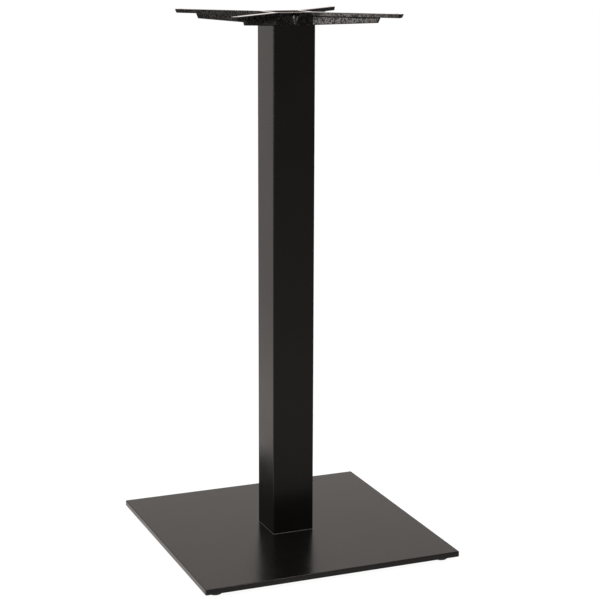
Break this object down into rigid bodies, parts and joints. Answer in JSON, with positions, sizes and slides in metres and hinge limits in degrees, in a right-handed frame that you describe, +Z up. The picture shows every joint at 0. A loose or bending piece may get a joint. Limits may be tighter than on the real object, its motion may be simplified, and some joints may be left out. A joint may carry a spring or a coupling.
{
  "type": "poseur table base",
  "caption": "Tall poseur table base: square flat steel plate on adjustable feet, square column, and a cast cross with T-section arms that carries the table top.",
  "frame": {"origin": "on the floor, on the column's axis", "axes": "+Z up along the column; X and Y along the sides of the plate and the column; the arms lie on the diagonals"},
  "size_m": [0.55, 0.55, 1.105],
  "materials": {
    "plate_coat": "black powder coat, fine texture, semi-gloss",
    "column_coat": "black powder coat, smooth, semi-gloss",
    "cast_paint": "black paint over a rough casting, glossy and speckled",
    "gasket": "grey soft plastic sheet",
    "bare_steel": "mill finish steel",
    "zinc_steel": "zinc plated",
    "foot_plastic": "black nylon"
  },
  "bodies": {
    "base": {"base_plate": "plate_coat", "column_gasket": "gasket", "column_tube": "column_coat", "column_foot_plate": "bare_steel", "column_head_plate": "bare_steel", "top_cross": "cast_paint", "hub_screw_1": "zinc_steel", "hub_washer_1": "zinc_steel", "base_screw_1": "zinc_steel", "hub_screw_2": "zinc_steel", "hub_washer_2": "zinc_steel", "base_screw_2": "zinc_steel", "hub_screw_3": "zinc_steel", "hub_washer_3": "zinc_steel", "base_screw_3": "zinc_steel", "hub_screw_4": "zinc_steel", "hub_washer_4": "zinc_steel", "base_screw_4": "zinc_steel"},
    "foot_pad_body_1": {"foot_pad_1": "foot_plastic"},
    "foot_stud_body_1": {"foot_stud_1": "zinc_steel"},
    "foot_pad_body_2": {"foot_pad_2": "foot_plastic"},
    "foot_stud_body_2": {"foot_stud_2": "zinc_steel"},
    "foot_pad_body_3": {"foot_pad_3": "foot_plastic"},
    "foot_stud_body_3": {"foot_stud_3": "zinc_steel"},
    "foot_pad_body_4": {"foot_pad_4": "foot_plastic"},
    "foot_stud_body_4": {"foot_stud_4": "zinc_steel"}
  },
  "joints": [
    {"name": "foot_1_height", "type": "slide", "parent": "base", "child": "foot_pad_body_1", "axis": [0, 0, 1], "range_m": [-0.005, 0]},
    {"name": "foot_1_turn", "type": "hinge", "parent": "foot_pad_body_1", "child": "foot_stud_body_1", "pos_m": [-0.246, -0.246, 0.004], "axis": [0, 0, 1], "range_deg": [-1440, 0]},
    {"name": "foot_2_height", "type": "slide", "parent": "base", "child": "foot_pad_body_2", "axis": [0, 0, 1], "range_m": [-0.005, 0]},
    {"name": "foot_2_turn", "type": "hinge", "parent": "foot_pad_body_2", "child": "foot_stud_body_2", "pos_m": [0.246, -0.246, 0.004], "axis": [0, 0, 1], "range_deg": [-1440, 0]},
    {"name": "foot_3_height", "type": "slide", "parent": "base", "child": "foot_pad_body_3", "axis": [0, 0, 1], "range_m": [-0.005, 0]},
    {"name": "foot_3_turn", "type": "hinge", "parent": "foot_pad_body_3", "child": "foot_stud_body_3", "pos_m": [0.246, 0.246, 0.004], "axis": [0, 0, 1], "range_deg": [-1440, 0]},
    {"name": "foot_4_height", "type": "slide", "parent": "base", "child": "foot_pad_body_4", "axis": [0, 0, 1], "range_m": [-0.005, 0]},
    {"name": "foot_4_turn", "type": "hinge", "parent": "foot_pad_body_4", "child": "foot_stud_body_4", "pos_m": [-0.246, 0.246, 0.004], "axis": [0, 0, 1], "range_deg": [-1440, 0]}
  ],
  "couplings": [
    {"joint": "foot_1_height", "follows": "foot_1_turn", "m_per_rad": 0.00019894},
    {"joint": "foot_2_height", "follows": "foot_2_turn", "m_per_rad": 0.00019894},
    {"joint": "foot_3_height", "follows": "foot_3_turn", "m_per_rad": 0.00019894},
    {"joint": "foot_4_height", "follows": "foot_4_turn", "m_per_rad": 0.00019894}
  ]
}
